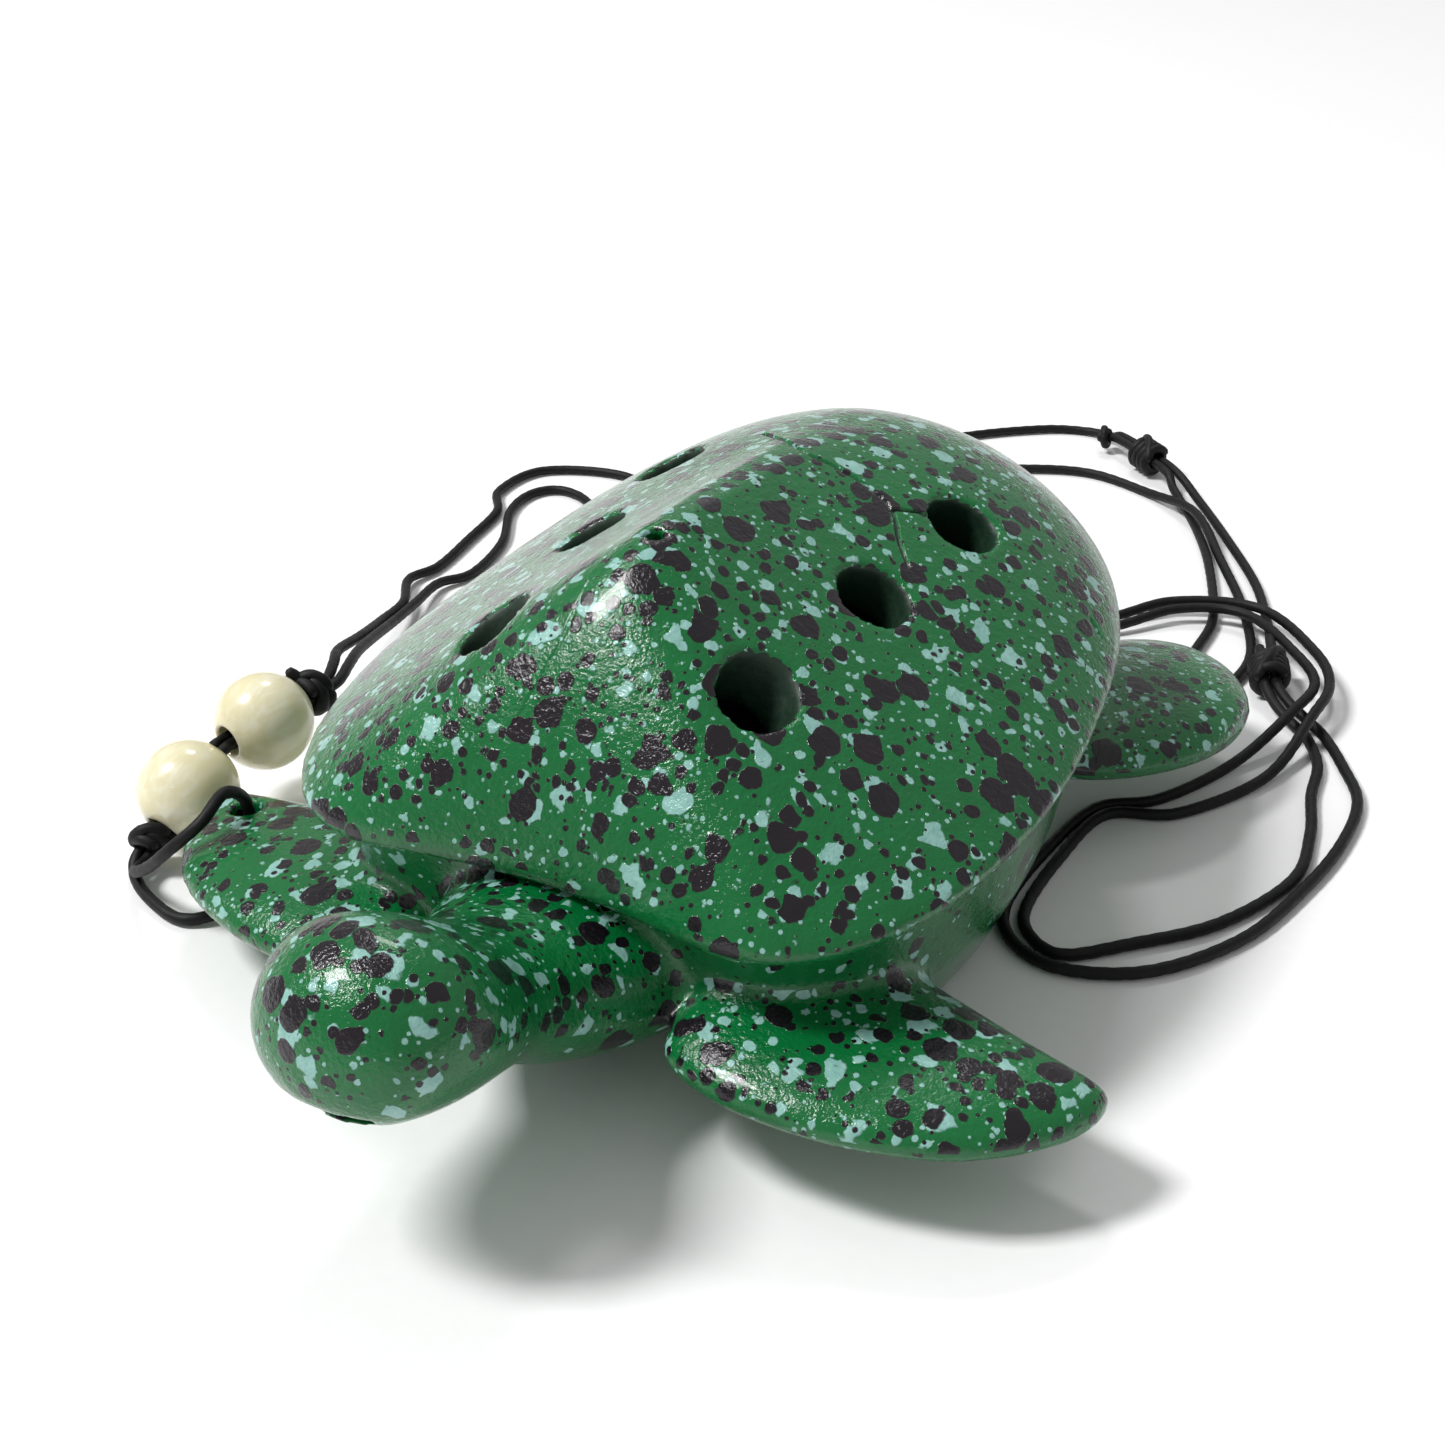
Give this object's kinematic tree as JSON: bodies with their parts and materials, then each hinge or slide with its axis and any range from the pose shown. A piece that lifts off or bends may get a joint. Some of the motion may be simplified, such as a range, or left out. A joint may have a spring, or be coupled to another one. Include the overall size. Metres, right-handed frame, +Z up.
{
  "type": "ocarina",
  "caption": "Turtle-shaped six-hole ocarina in green speckled lacquer, on a doubled black neck cord with two cream beads and sliding knots.",
  "frame": {"origin": "under the middle of the turtle, on the surface its belly rests on", "axes": "+Z up, head towards -Y, the turtle's left side towards +X"},
  "size_m": [0.127, 0.1953, 0.0425],
  "materials": {
    "speckled_lacquer": "gloss",
    "waxed_cord": "satin",
    "ivory_bead": "gloss"
  },
  "bodies": {
    "turtle": {"carapace": "speckled_lacquer", "lower_body": "speckled_lacquer", "windway_plug": "speckled_lacquer", "pendant_cord": "waxed_cord", "lower_stopper_knot": "waxed_cord", "upper_stopper_knot": "waxed_cord", "neck_cord_short": "waxed_cord", "neck_cord_long": "waxed_cord", "tail_end_knot": "waxed_cord"},
    "lower_bead": {"bead_lower": "ivory_bead"},
    "upper_bead": {"bead_upper": "ivory_bead"},
    "near_slider": {"sliding_knot_near": "waxed_cord"},
    "far_slider": {"sliding_knot_far": "waxed_cord"}
  },
  "joints": [
    {"name": "lower_bead_slide", "type": "slide", "parent": "turtle", "child": "lower_bead", "axis": [0.0501, 0.852, 0.5212], "range_m": [0, 0.0005]},
    {"name": "upper_bead_slide", "type": "slide", "parent": "turtle", "child": "upper_bead", "axis": [-0.2196, -0.9682, -0.1198], "range_m": [0, 0.0005]},
    {"name": "near_knot_slide", "type": "slide", "parent": "turtle", "child": "near_slider", "axis": [-0.3453, 0.9385, 0], "range_m": [-0.0004, 0.003]},
    {"name": "far_knot_slide", "type": "slide", "parent": "turtle", "child": "far_slider", "axis": [-0.7593, 0.6508, 0], "range_m": [-0.002, 0.0035]}
  ]
}
